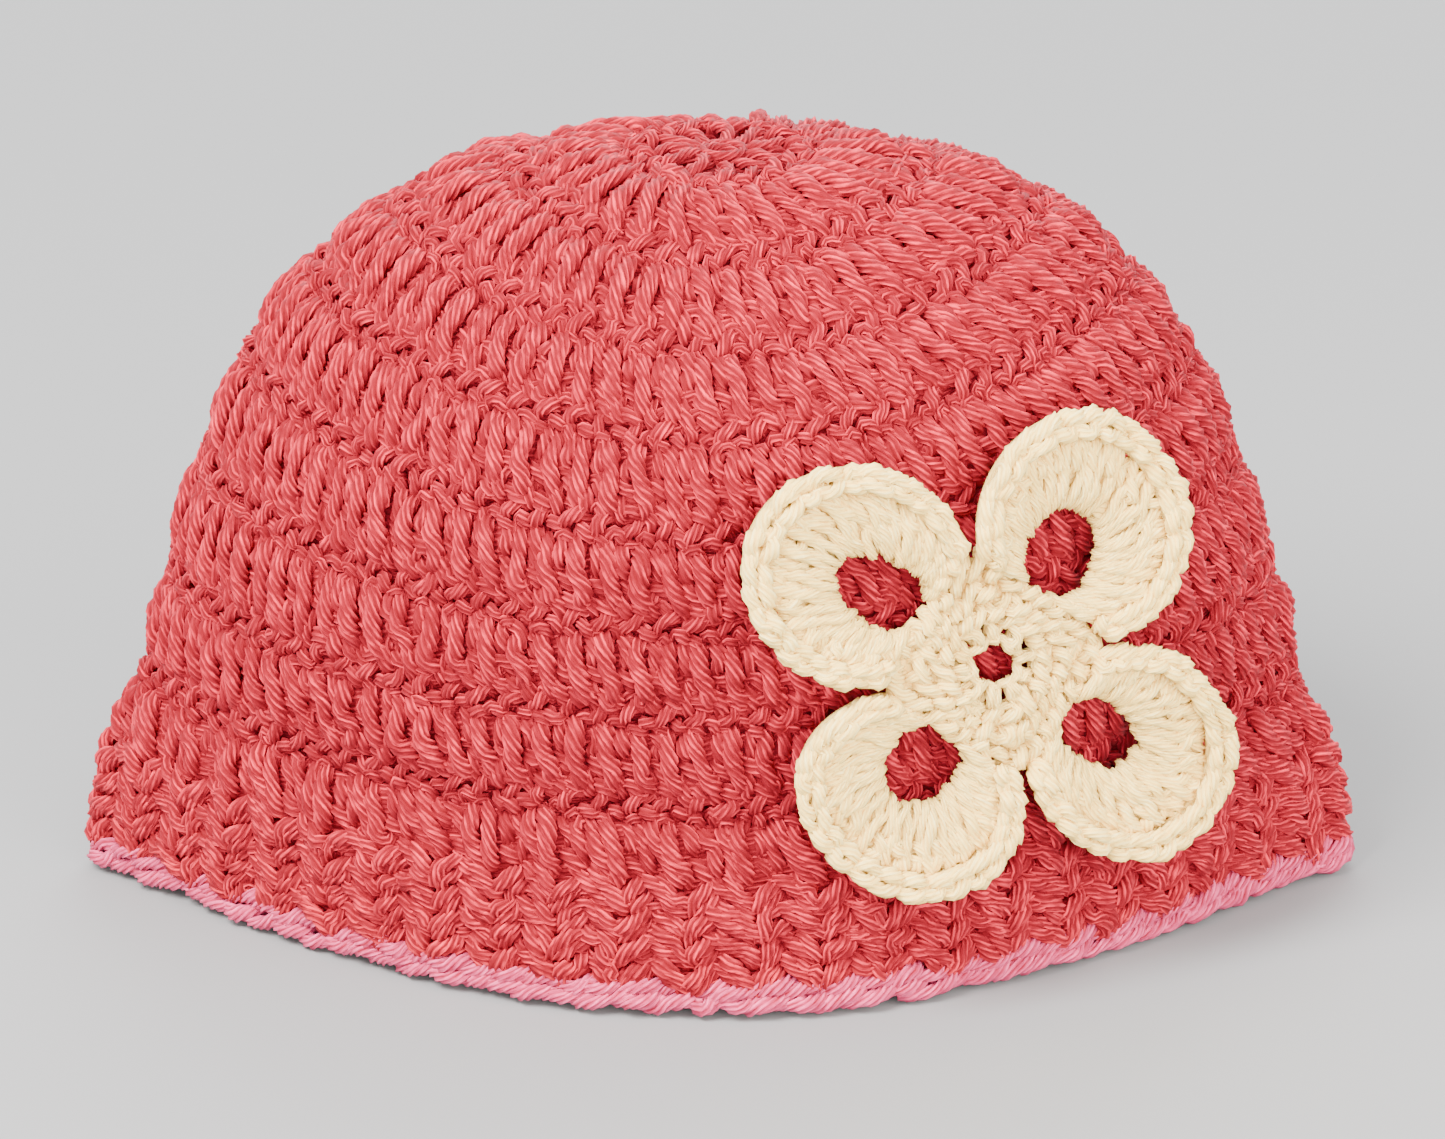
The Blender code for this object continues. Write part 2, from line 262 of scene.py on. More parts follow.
def build_table():
    """Points and outward normals of the cap on an even grid, and the length of each course."""
    courses = np.linspace(TABLE_FIRST, TABLE_LAST, TABLE_ROWS)
    angles = np.linspace(-math.pi, math.pi, ANGLE_SAMPLES)
    places = np.empty((TABLE_ROWS, TABLE_COLUMNS, 3))
    lengths = np.empty(TABLE_ROWS)
    for row, course in enumerate(courses):
        ring = ring_shape(course, angles)
        along = np.concatenate([[0.0], np.cumsum(np.linalg.norm(np.diff(ring, axis=0), axis=1))])
        lengths[row] = along[-1]
        even = np.arange(TABLE_COLUMNS) / TABLE_COLUMNS * along[-1]
        places[row] = np.stack([np.interp(even, along, ring[:, axis]) for axis in range(3)], axis=-1)
    down = np.gradient(places, axis=0)
    across = np.roll(places, -1, axis=1) - np.roll(places, 1, axis=1)
    normals = np.cross(down, across)
    normals /= np.linalg.norm(normals, axis=-1, keepdims=True)
    return courses, lengths, np.concatenate([places, normals], axis=-1)


COURSE_GRID, COURSE_LENGTHS, CAP_TABLE = build_table()


def cap_at(course, share):
    """Points and outward normals at arrays of courses and shares. Share 0 is the front, 0.5 the back."""
    row = (np.asarray(course) - TABLE_FIRST) / (TABLE_LAST - TABLE_FIRST) * (TABLE_ROWS - 1)
    row = np.clip(row, 0.0, TABLE_ROWS - 1.001)
    column = ((np.asarray(share) + 0.5) % 1.0) * TABLE_COLUMNS
    above = np.floor(row).astype(int)
    left = np.floor(column).astype(int) % TABLE_COLUMNS
    right = (left + 1) % TABLE_COLUMNS
    past_row = (row - above)[..., None]
    past_column = (column - np.floor(column))[..., None]
    upper = CAP_TABLE[above, left] * (1.0 - past_column) + CAP_TABLE[above, right] * past_column
    lower = CAP_TABLE[above + 1, left] * (1.0 - past_column) + CAP_TABLE[above + 1, right] * past_column
    both = upper * (1.0 - past_row) + lower * past_row
    normal = both[..., 3:]
    return both[..., :3], normal / np.linalg.norm(normal, axis=-1, keepdims=True)


def ring_length(course):
    """The length of a course all the way round."""
    return np.interp(course, COURSE_GRID, COURSE_LENGTHS)


def lay_on_cap(path):
    """World points of a path of (share, course, out)."""
    place, normal = cap_at(path[:, 1], path[:, 0])
    return place + normal * path[:, 2:3]


# ---------------------------------------------------------------- the flower's surface

def course_height():
    """The height of one course beside the flower."""
    step = 0.25
    share = FLOWER_ACROSS / ring_length(FLOWER_COURSE)
    ends = [cap_at(FLOWER_COURSE + offset, share)[0] for offset in (step, -step)]
    return np.linalg.norm(ends[0] - ends[1]) / (2.0 * step)


COURSE_HEIGHT = course_height()


def cap_under_flower(across, up):
    """Points and normals of the cap at distances across and up from the flower's middle."""
    course = FLOWER_COURSE - up / COURSE_HEIGHT
    return cap_at(course, (FLOWER_ACROSS + across) / ring_length(course))


def flower_plane():
    """The flower's middle on the cap, with its outward, across and up directions."""
    step = 0.5
    middle, normal = cap_under_flower(np.float64(0.0), np.float64(0.0))
    along = cap_under_flower(step, 0.0)[0] - cap_under_flower(-step, 0.0)[0]
    across = along - normal * along.dot(normal)
    across /= np.linalg.norm(across)
    return middle, normal, across, np.cross(normal, across)


PLANE = flower_plane()


def lay_on_flower(path):
    """World points of a path of (across, up, lift) in the flower's own plane."""
    up = path[:, 1] + path[:, 0] * FLOWER_LEAN
    across = path[:, 0] * FLOWER_SPREAD
    surface, normal = cap_under_flower(across, up)
    middle, plane_normal, plane_across, plane_up = PLANE
    flat = middle + across[:, None] * plane_across + up[:, None] * plane_up
    facing = normal + (plane_normal - normal) * FLOWER_STIFFNESS
    facing /= np.linalg.norm(facing, axis=1, keepdims=True)
    return surface + (flat - surface) * FLOWER_STIFFNESS + facing * path[:, 2:3]


def petal_rim(share):
    """The rim's radius about the petal's hole. Share 0 is the petal's tip, and 1 or -1 its root."""
    swell = np.maximum(np.cos(0.5 * math.pi * share), 0.0) ** PETAL_RIM_SHAPE
    return PETAL_RIM_ROOT + (PETAL_RIM_TIP - PETAL_RIM_ROOT) * swell


def petal_hole(share):
    """The hole's radius: longest at the petal's tip, and pinched in at both sides."""
    swell = np.maximum(np.cos(0.5 * math.pi * share), 0.0)
    pinch = PETAL_HOLE_PINCH * np.sin(math.pi * share) ** 2
    return PETAL_HOLE_SIDE + (PETAL_HOLE_TIP - PETAL_HOLE_SIDE) * swell - pinch


def petal_cup(share):
    """How far the petal has curled up where it meets its edging."""
    reach = petal_rim(share) - EDGING_WIDTH - petal_hole(share)
    return PETAL_CUP * reach / (PETAL_RIM_TIP - EDGING_WIDTH - PETAL_HOLE_TIP)


def petal_flat(share, radius, end_radius, turn):
    """Places in the flower's plane, at a radius from the petal's hole and a share of its half turn."""
    angle = share * np.arccos(-np.minimum((PETAL_HOLE_AT - PETAL_ROOT) / end_radius, 1.0))
    along = PETAL_HOLE_AT + radius * np.cos(angle)
    aside = radius * np.sin(angle)
    return along * math.cos(turn) - aside * math.sin(turn), along * math.sin(turn) + aside * math.cos(turn)


# ---------------------------------------------------------------- yarn

def smooth_loop(controls):
    """A closed Catmull-Rom curve through control points."""
    before = np.roll(controls, 1, axis=0)
    after = np.roll(controls, -1, axis=0)
    later = np.roll(controls, -2, axis=0)
    t = (np.arange(SPAN_SAMPLES) / SPAN_SAMPLES)[None, :, None]
    p0, p1, p2, p3 = (points[:, None, :] for points in (before, controls, after, later))
    curve = 0.5 * (
        2.0 * p1
        + (p2 - p0) * t
        + (2.0 * p0 - 5.0 * p1 + 4.0 * p2 - p3) * t ** 2
        + (3.0 * p1 - p0 - 3.0 * p2 + p3) * t ** 3
    )
    return curve.reshape(-1, controls.shape[1])


def even_loop(points, step):
    """The same closed curve with points at even steps along its first three values."""
    ends = np.vstack([points, points[:1]])
    along = np.concatenate([[0.0], np.cumsum(np.linalg.norm(np.diff(ends[:, :3], axis=0), axis=1))])
    count = max(int(round(along[-1] / step)), 8)
    even = np.arange(count) / count * along[-1]
    return np.stack([np.interp(even, along, ends[:, axis]) for axis in range(ends.shape[1])], axis=-1)


def rotate_about(vectors, axes, angles):
    """vectors turned about unit axes that they are square to."""
    return vectors * np.cos(angles)[:, None] + np.cross(axes, vectors) * np.sin(angles)[:, None]


def loop_frames(points):
    """Tangents and untwisted side vectors round a closed curve, and the turn left over where it closes."""
    tangent = np.roll(points, -1, axis=0) - np.roll(points, 1, axis=0)
    tangent /= np.linalg.norm(tangent, axis=1, keepdims=True) + 1e-12
    guide = np.array(FRAME_GUIDE)
    side = guide - (tangent @ guide)[:, None] * tangent
    side /= np.linalg.norm(side, axis=1, keepdims=True) + 1e-12
    next_tangent = np.roll(tangent, -1, axis=0)
    next_side = np.roll(side, -1, axis=0)
    both = np.sum(side * next_tangent, axis=1) / (1.0 + np.sum(tangent * next_tangent, axis=1) + 1e-9)
    carried = side - (tangent + next_tangent) * both[:, None]
    sine = np.sum(np.cross(carried, next_side) * next_tangent, axis=1)
    turn = np.arctan2(sine, np.sum(carried * next_side, axis=1))
    turned = -np.concatenate([[0.0], np.cumsum(turn)])
    return tangent, rotate_about(side, tangent, turned[:-1]), turned[-1]


def yarn_arrays(path, radius):
    """Vertices, quads, corner coordinates and relief of a closed strand. path is (x, y, z, out, size)."""
    path = even_loop(path, YARN_STEP)
    points = path[:, :3]
    count = len(points)
    tangent, side, left_over = loop_frames(points)
    other = np.cross(tangent, side)
    turns = round((count * YARN_STEP / YARN_TWIST_LENGTH * 2.0 * math.pi - left_over) / (2.0 * math.pi))
    twist = -(turns * 2.0 * math.pi + left_over) * np.arange(count) / count
    corner = np.arange(YARN_SIDES) * 2.0 * math.pi / YARN_SIDES
    angle = twist[:, None] + corner[None, :]
    ply = np.arange(YARN_SIDES) // len(PLY_PROFILE)
    place = np.arange(count)[:, None] * YARN_STEP / PLY_WANDER_LENGTH
    loose = 1.0 + PLY_WANDER * np.sin(2.0 * math.pi * place + PLY_WANDER_SHIFT * ply[None, :])
    reach = radius * path[:, 4:5] * np.tile(PLY_PROFILE, YARN_PLIES) * loose
    verts = (
        points[:, None, :]
        + side[:, None, :] * (np.cos(angle) * reach)[:, :, None]
        + other[:, None, :] * (np.sin(angle) * reach)[:, :, None]
    ).reshape(-1, 3)
    row = np.arange(count)[:, None]
    column = np.arange(YARN_SIDES)[None, :]
    next_row = (row + 1) % count
    next_column = (column + 1) % YARN_SIDES
    quads = np.stack(
        [
            row * YARN_SIDES + column,
            row * YARN_SIDES + next_column,
            next_row * YARN_SIDES + next_column,
            next_row * YARN_SIDES + column,
        ],
        axis=-1,
    ).reshape(-1, 4)
    around = column / YARN_SIDES + 0.0 * row
    along = row * YARN_STEP + 0.0 * column
    corners = np.stack(
        [
            np.stack([around, along], axis=-1),
            np.stack([around + 1.0 / YARN_SIDES, along], axis=-1),
            np.stack([around + 1.0 / YARN_SIDES, along + YARN_STEP], axis=-1),
            np.stack([around, along + YARN_STEP], axis=-1),
        ],
        axis=2,
    ).reshape(-1, 2)
    relief = np.repeat(path[:, 3], YARN_SIDES)
    return verts, quads, corners, relief


def make_piece(name, strands, material, node):
    """One piece of the object from the arrays of its strands. It stands for one CAD node."""
    verts = np.vstack([strand[0] for strand in strands]) * MM
    starts = np.cumsum([0] + [len(strand[0]) for strand in strands])
    quads = np.vstack([strand[1] + start for strand, start in zip(strands, starts)])
    corners = np.vstack([strand[2] for strand in strands])
    relief = np.concatenate([strand[3] for strand in strands])
    mesh = bpy.data.meshes.new(name)
    mesh.vertices.add(len(verts))
    mesh.vertices.foreach_set("co", verts.astype(np.float32).ravel())
    mesh.loops.add(quads.size)
    mesh.loops.foreach_set("vertex_index", quads.astype(np.int32).ravel())
    mesh.polygons.add(len(quads))
    mesh.polygons.foreach_set("loop_start", np.arange(0, quads.size, 4, dtype=np.int32))
    mesh.polygons.foreach_set("use_smooth", np.ones(len(quads), dtype=bool))
    mesh.update(calc_edges=True)
    layer = mesh.uv_layers.new(name="yarn")
    layer.data.foreach_set("uv", corners.astype(np.float32).ravel())
    attribute = mesh.attributes.new("relief", "FLOAT", "POINT")
    attribute.data.foreach_set("value", relief.astype(np.float32))
    mesh.materials.append(material)
    piece = bpy.data.objects.new(name, mesh)
    bpy.context.scene.collection.objects.link(piece)
    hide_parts(node)
    return piece


# ---------------------------------------------------------------- stitches of the cap

# A tall post: a short strand at its left, a wrap, the long slanting strand, a foot and a bottom strand,
# joined behind the fabric.
POST_STITCH = (
    (-0.04, -0.08, 0.1),
    (-0.01, 0.12, 0.8),
    (0.02, 0.26, 0.8),
    (0.04, 0.38, -0.4),
    (-0.10, 0.40, -1.0),
    (-0.20, 0.42, -0.1),
    (0.02, 0.48, 0.5),
    (0.26, 0.58, 0.5),
    (0.46, 0.68, -0.3),
    (0.56, 0.50, -1.3),
    (0.44, 0.16, -1.3),
    (0.30, -0.08, 0.0),
    (0.36, 0.08, 1.2),
    (0.46, 0.34, 1.65),
    (0.60, 0.60, 1.65),
    (0.72, 0.80, 0.9),
    (0.70, 0.86, -0.6),
    (0.40, 0.74, -1.2),
    (0.02, 0.62, -1.0),
    (-0.14, 0.62, 0.1),
    (-0.12, 0.76, 0.65),
    (-0.05, 0.92, 0.6),
    (0.02, 1.02, -0.3),
    (0.10, 0.94, -0.9),
    (0.16, 0.80, 0.0),
    (0.34, 0.82, 0.6),
    (0.52, 0.92, 0.5),
    (0.76, 0.98, -0.2),
    (0.96, 0.70, -1.3),
    (0.98, 0.25, -1.3),
)

# A low stitch: a short slanting strand above, and three small bumps beside and below it.
RIDGE_STITCH = (
    (-0.04, 0.60, -0.5),
    (0.08, 0.34, 0.75),
    (0.28, 0.08, 1.05),
    (0.46, -0.12, 0.3),
    (0.54, 0.15, -1.0),
    (0.34, 0.60, -1.2),
    (0.06, 0.90, -0.4),
    (0.16, 0.66, 0.65),
    (0.32, 0.74, 0.75),
    (0.42, 1.02, -0.3),
    (0.54, 0.80, -0.8),
    (0.58, 0.42, 0.5),
    (0.74, 0.42, 0.95),
    (0.92, 0.66, 0.4),
    (0.98, 0.60, -1.2),
)

# A rib of the brim's first round: a raised post of two strands, and a set-back post beside it.
BROAD_STITCH = (
    (-0.02, -0.06, 0.15),
    (0.02, 0.16, 1.2),
    (0.14, 0.50, 1.58),
    (0.30, 0.84, 1.35),
    (0.38, 1.04, 0.3),
    (0.30, 0.60, -0.9),
    (0.22, 0.10, -0.8),
    (0.20, -0.08, 0.15),
    (0.25, 0.16, 1.35),
    (0.35, 0.48, 1.8),
    (0.44, 0.80, 1.5),
    (0.47, 1.02, 0.3),
    (0.55, 0.60, -1.4),
    (0.50, 0.02, -0.6),
    (0.56, 0.14, 0.52),
    (0.62, 0.36, 0.68),
    (0.60, 0.52, -0.4),
    (0.50, 0.62, -0.5),
    (0.62, 0.66, 0.38),
    (0.78, 0.80, 0.38),
    (0.86, 0.95, -0.6),
    (0.80, 0.50, -1.5),
    (0.74, -0.02, -0.3),
    (0.80, 0.14, 0.68),
    (0.88, 0.40, 0.9),
    (0.94, 0.66, 0.6),
    (0.92, 0.90, -0.4),
    (1.00, 0.50, -1.6),
)

# A rib of the brim's other rounds: a steep pair of strands at its left, a flatter pair at its right
# that meets them in a V, and a small strand in the groove beside it.
RIB_STITCH = (
    (-0.06, -0.10, 0.3),
    (0.04, 0.10, 1.1),
    (0.18, 0.40, 1.5),
    (0.30, 0.72, 1.6),
    (0.40, 1.05, 0.9),
    (0.36, 0.90, -0.8),
    (0.26, 0.20, -1.0),
    (0.14, -0.20, 0.2),
    (0.22, 0.00, 1.3),
    (0.33, 0.32, 1.8),
    (0.42, 0.66, 1.8),
    (0.46, 0.98, 1.0),
    (0.50, 0.70, -0.8),
    (0.80, 0.10, -0.6),
    (0.91, 0.12, 0.5),
    (0.79, 0.28, 1.2),
    (0.62, 0.55, 1.6),
    (0.50, 0.90, 1.2),
    (0.55, 0.85, -0.8),
    (0.90, 0.40, -0.8),
    (0.97, 0.44, 0.4),
    (0.85, 0.58, 0.9),
    (0.68, 0.82, 1.3),
    (0.54, 1.12, 0.9),
    (0.62, 1.05, -0.9),
    (0.80, 0.85, -0.2),
    (0.94, 0.82, 0.5),
    (1.06, 0.92, 0.0),
    (1.00, 0.60, -1.4),
    (0.94, 0.10, -1.4),
)

# The hem's edge: two long slanting loops a stitch, one in front of the other.
EDGE_STITCH = (
    (-0.35, 0.46, 0.2),
    (0.10, 0.34, 1.2),
    (0.60, 0.14, 1.6),
    (1.15, -0.08, 0.9),
    (1.20, 0.10, -0.6),
    (0.40, 0.60, -1.2),
    (-0.35, 1.00, 0.6),
    (0.10, 0.96, 1.5),
    (0.60, 0.84, 1.9),
    (1.15, 0.66, 1.2),
    (1.15, 0.60, -0.6),
    (0.80, 0.55, -1.2),
)

# The first round: two crossing strands for each post, with an open gap between posts.
CROWN_STITCH = (
    (0.14, -0.10, 0.0),
    (0.18, 0.25, 0.7),
    (0.32, 0.60, 0.9),
    (0.44, 0.90, 0.6),
    (0.34, 1.04, -0.6),
    (0.14, 0.92, -0.6),
    (0.18, 0.62, 0.3),
    (0.40, 0.25, 0.2),
    (0.46, -0.10, -0.6),
    (0.34, 0.20, -0.9),
    (0.30, 0.80, -0.9),
    (0.46, 1.18, 0.1),
    (0.80, 1.14, 0.5),
    (1.08, 1.20, 0.0),
    (1.04, 0.40, -1.0),
)


def stitch_count(start, end):
    """How many stitches fit a round, measured about two thirds of the way down it."""
    return int(round(ring_length(start + COUNTED_AT * (end - start)) / STITCH_WIDTH))


def uneven_rows(stitch, count, pitch, height, rng):
    """count copies of a stitch, each a little different, as (across, down, out, size) in count rows."""
    template = np.array(stitch)
    shape = (count, len(template))
    wander = rng.normal(0.0, WANDER, (*shape, 3))
    lean = rng.normal(0.0, STITCH_LEAN, (count, 1)) * (template[:, 1] - 0.5)
    lift = rng.normal(0.0, STITCH_LIFT, (count, 1))
    swell = RAISED_SWELL * np.clip(template[:, 2], -1.0, 1.0)
    size = np.clip(1.0 + rng.normal(0.0, YARN_UNEVENNESS, shape) + swell, *SIZE_LIMITS)
    across = np.arange(count)[:, None] + template[:, 0] + lean + wander[:, :, 0] / pitch
    down = template[:, 1] + wander[:, :, 1] / height
    out = template[:, 2] + lift + OUT_WANDER * wander[:, :, 2]
    return np.stack([across, down, out, size], axis=-1).reshape(-1, 4)


def round_path(stitch, count, start, end, rng):
    """The closed path of one round's yarn, as (x, y, z, out, size)."""
    pitch = ring_length(0.5 * (start + end)) / count
    across, down, out, size = uneven_rows(stitch, count, pitch, (end - start) * COURSE_HEIGHT, rng).T
    path = np.column_stack([across / count, start + (end - start) * down, out - FABRIC_SINK])
    return smooth_loop(np.column_stack([lay_on_cap(path), out, size]))


def band_arrays(loops, relief, closed):
    """A thin hollow band: loops are rows of world points, with the last row next to the first."""
    rows_count, width = loops.shape[:2]
    spans = width if closed else width - 1
    row = np.arange(rows_count)[:, None]
    column = np.arange(spans)[None, :]
    next_row = (row + 1) % rows_count
    next_column = (column + 1) % width
    quads = np.stack(
        [
            row * width + column,
            next_row * width + column,
            next_row * width + next_column,
            row * width + next_column,
        ],
        axis=-1,
    ).reshape(-1, 4)
    around = (row + np.zeros((1, spans))).reshape(-1, 1) + np.array([0, 1, 1, 0])
    along = (column + np.zeros((rows_count, 1))).reshape(-1, 1) + np.array([0, 0, 1, 1])
    around = (around * BAND_PLIES + along * BAND_SLANT) / YARN_PLIES
    corners = np.stack([around, along * BAND_STEP], axis=-1).reshape(-1, 2)
    return loops.reshape(-1, 3), quads, corners, np.full(rows_count * width, relief)


def core_arrays(start, end, count, outer):
    """The dense inner strands of a round, as a thin closed band that the stitches wrap round."""
    courses = np.linspace(start - CORE_OVERLAP, end + CORE_OVERLAP, CORE_ROWS)
    columns = np.arange(CORE_COLUMNS * count) / (CORE_COLUMNS * count)
    rows = [(course, outer) for course in courses]
    rows += [(course, outer - CORE_WALL) for course in courses[::-1]]
    loops = []
    for course, out in rows:
        ripple = CORE_RIPPLE * np.sin(columns * count * 2.0 * math.pi + CORE_RIPPLE_DRIFT * course)
        path = np.column_stack([columns, np.full(len(columns), course), out - FABRIC_SINK + ripple])
        loops.append(lay_on_cap(path))
    return band_arrays(np.array(loops), outer, True)


def cap_piece(node, stitch, count, start, end, material, rng,
              radius=YARN_RADIUS, core=CORE_OUTER, core_share=1.0, rows=1):
    """A round's piece. core_share is how far down its band runs, and rows how many rows it stacks."""
    edges = np.linspace(start, end, rows + 1)
    strands = []
    for top, bottom in zip(edges[:-1], edges[1:]):
        strands.append(yarn_arrays(round_path(stitch, count, top, bottom, rng), radius))
    strands.append(core_arrays(start, start + (end - start) * core_share, count, core))
    piece = make_piece(f"yarn_{node}", strands, material, node)
    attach(piece, "cap")


def cap_rounds(material, edge_material):
    """The crown, the ridges, the posts between them, the ribbed brim and the hem's edge."""
    rng = np.random.default_rng(SEED)
    cap_piece("crown_round", CROWN_STITCH, CROWN_POSTS, CROWN_YARN_START, CROWN_YARN_END, material, rng,
              CROWN_RADIUS, CROWN_CORE_OUTER, CROWN_CORE_SHARE)
    for number in range(1, RIDGE_ROUNDS + 1):
        start, end = number - HALF_RIDGE, number + HALF_RIDGE
        count = stitch_count(start, end)
        name = f"ridge_round_{number}"
        cap_piece(name, RIDGE_STITCH, count, start, end, material, rng, RIDGE_RADIUS, RIDGE_CORE_OUTER)
    for number in range(1, POST_ROUNDS + 1):
        start, end = number + HALF_RIDGE, number + 1.0 - HALF_RIDGE
        cap_piece(f"post_round_{number}", POST_STITCH, stitch_count(start, end), start, end, material, rng)
    brim_start = RIDGE_ROUNDS + HALF_RIDGE
    step = (BRIM_YARN_END - brim_start) / BRIM_ROUNDS
    end = brim_start + step
    cap_piece("brim_round_1", BROAD_STITCH, RIBS, brim_start, end, material, rng, core=BRIM_CORE_OUTER)
    for number in range(2, BRIM_ROUNDS + 1):
        start, end = end, end + step
        name = f"brim_round_{number}"
        cap_piece(name, RIB_STITCH, RIBS, start, end, material, rng,
                  RIB_RADIUS, BRIM_CORE_OUTER, rows=RIB_ROWS)
    start, end = EDGE_YARN_START, EDGE_YARN_END
    cap_piece("hem_edge", EDGE_STITCH, 2 * RIBS, start, end, edge_material, rng, EDGE_RADIUS)


def start_ring(material):
    """The loop at the crown's middle, wound twice, with one crossing of its two turns."""
    turn = np.linspace(0.0, START_TURNS * 2.0 * math.pi, START_POINTS, endpoint=False)
    course = START_COURSE + START_SPREAD * np.sin(turn / START_TURNS)
    out = START_RISE * np.cos(turn / START_TURNS)
    place = lay_on_cap(np.column_stack([turn / (2.0 * math.pi), course, out]))
    strand = yarn_arrays(smooth_loop(np.column_stack([place, out, np.ones(len(turn))])), START_RADIUS)
    piece = make_piece("yarn_start_ring", [strand], material, "start_ring")
    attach(piece, "cap")


# ---------------------------------------------------------------- stitches of the flower

# The loop round the flower's hole, and the posts that stand on it with small gaps between them.
HOLE_LOOP = ((0.0, 0.0, 0.1), (0.5, 0.5, 0.5))
CENTER_POST = (
    (0.22, -0.10, -0.3),
    (0.28, 0.15, 0.6),
    (0.36, 0.55, 0.8),
    (0.34, 0.95, 0.4),
    (0.45, 1.00, -0.6),
    (0.56, 0.50, -0.8),
    (0.60, -0.05, -0.2),
    (0.56, 0.20, 0.6),
    (0.50, 0.60, 0.8),
    (0.52, 0.95, 0.4),
    (0.80, 1.06, 0.1),
    (1.10, 1.00, -0.4),
)

# A slanting strand of the rounds in the flower's centre, with a short one that crosses under it.
CENTER_STITCH = (
    (-0.10, 0.90, -0.4),
    (0.15, 0.70, 0.6),
    (0.45, 0.36, 0.9),
    (0.75, 0.05, 0.4),
    (0.70, 0.20, -0.9),
    (0.40, 0.05, -0.3),
    (0.55, 0.50, 0.3),
    (0.80, 0.92, -0.1),
    (0.85, 0.80, -1.0),
)

# A petal's post: two strands that wrap over the hole's edge, a wrap across them, and two that spread
# to the rim.
PETAL_STITCH = (
    (0.22, 0.04, -0.8),
    (0.24, 0.06, 0.3),
    (0.25, 0.28, 0.8),
    (0.34, 0.50, 0.7),
    (0.46, 0.62, -0.2),
    (0.30, 0.66, -0.6),
    (0.05, 0.58, 0.2),
    (0.25, 0.66, 0.9),
    (0.52, 0.78, 0.8),
    (0.62, 0.90, -0.2),
    (0.60, 0.40, -1.0),
    (0.72, 0.04, -0.8),
    (0.74, 0.06, 0.3),
    (0.75, 0.28, 0.85),
    (0.70, 0.52, 0.95),
    (0.78, 0.76, 0.85),
    (0.90, 1.02, 0.2),
    (0.70, 0.98, -0.7),
    (0.45, 0.80, -0.2),
    (0.35, 0.88, 0.5),
    (0.22, 1.02, 0.2),
    (0.40, 0.80, -1.0),
    (1.10, 0.40, -1.0),
)

# One link of the braid along a petal's rim: two strands that part and close over the next link.
BRAID_STITCH = (
    (-0.02, 0.52, -0.2),
    (0.22, 0.32, 0.9),
    (0.66, 0.18, 1.5),
    (1.12, 0.32, 1.0),
    (1.36, 0.50, -0.1),
    (1.12, 0.70, 1.0),
    (0.66, 0.86, 1.5),
    (0.22, 0.72, 0.9),
    (0.06, 0.54, -0.6),
    (0.55, 0.50, -1.0),
)


def petal_strip(turn):
    """Turns (share, down, out) on a petal into (across, up, lift)."""

    def place(share, down, out):
        hole = petal_hole(share)
        radius = hole + (petal_rim(share) - EDGING_WIDTH - hole) * down
        end_radius = PETAL_HOLE_SIDE + (PETAL_RIM_ROOT - EDGING_WIDTH - PETAL_HOLE_SIDE) * down
        across, up = petal_flat(share, radius, end_radius, turn)
        return np.column_stack([across, up, FLOWER_LIFT + petal_cup(share) * down + out])

    return place


def edging_strip(turn):
    """Turns (share, down, out) on a petal's edging into (across, up, lift)."""

    def place(share, down, out):
        inset = EDGING_WIDTH * (1.0 - down)
        across, up = petal_flat(share, petal_rim(share) - inset, PETAL_RIM_ROOT - inset, turn)
        return np.column_stack([across, up, FLOWER_LIFT + petal_cup(share) + EDGING_RISE + out])

    return place


def strip_strands(stitch, count, place, thin, radius, rng):
    """The yarn and the band of a row of stitches on an open strip. thin is the yarn's size at the top."""
    across, down, out, size = uneven_rows(stitch, count, STRIP_PITCH, STRIP_HEIGHT, rng).T
    size = size * (thin + (1.0 - thin) * np.clip(down, 0.0, 1.0))
    back = np.linspace(1.0, -1.0, 2 * count)[1:-1]
    share = np.concatenate([np.clip(2.0 * across / count - 1.0, -STRIP_OVERRUN, STRIP_OVERRUN), back])
    down = np.concatenate([down, np.full(len(back), 0.5)])
    out = np.concatenate([out, np.full(len(back), STRIP_RETURN)])
    size = np.concatenate([size, np.full(len(back), thin)])
    path = smooth_loop(np.column_stack([lay_on_flower(place(share, down, out)), out, size]))
    shares = np.linspace(-1.0, 1.0, 3 * count)
    rows = [(row, STRIP_BAND_OUTER) for row in STRIP_BAND_ROWS]
    rows += [(row, STRIP_BAND_INNER) for row in STRIP_BAND_ROWS[::-1]]
    loops = [lay_on_flower(place(shares, np.full(len(shares), row), level)) for row, level in rows]
    return [yarn_arrays(path, radius), band_arrays(np.array(loops), STRIP_BAND_OUTER, False)]


def bend_at_root(piece, name):
    """Bakes a petal's piece's placing into its mesh. The two ends of a hinge about its root are worked
    out, but not used.
    """
    turn = math.radians(PETAL_TURNS[name])
    reach = np.array([PETAL_ROOT - HINGE_REACH, PETAL_ROOT + HINGE_REACH])
    path = np.column_stack([reach * math.cos(turn), reach * math.sin(turn), np.full(2, FLOWER_LIFT)])
    ends = lay_on_flower(path) * MM
    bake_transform(piece)


def petals(material):
    """The four petals, each a fan of posts with a braid along its rim."""
    rng = np.random.default_rng(SEED + 1)
    for name, degrees in PETAL_TURNS.items():
        turn = math.radians(degrees)
        rows = (
            ("petal", PETAL_STITCH, PETAL_POSTS, petal_strip(turn), PETAL_YARN_START, PETAL_YARN_RADIUS),
            ("edging", BRAID_STITCH, BRAID_LINKS, edging_strip(turn), 1.0, BRAID_YARN_RADIUS),
        )
        for kind, stitch, count, place, thin, radius in rows:
            strands = strip_strands(stitch, count, place, thin, radius, rng)
            piece = make_piece(f"yarn_{kind}_{name}", strands, material, f"{kind}_{name}")
            bend_at_root(piece, name)


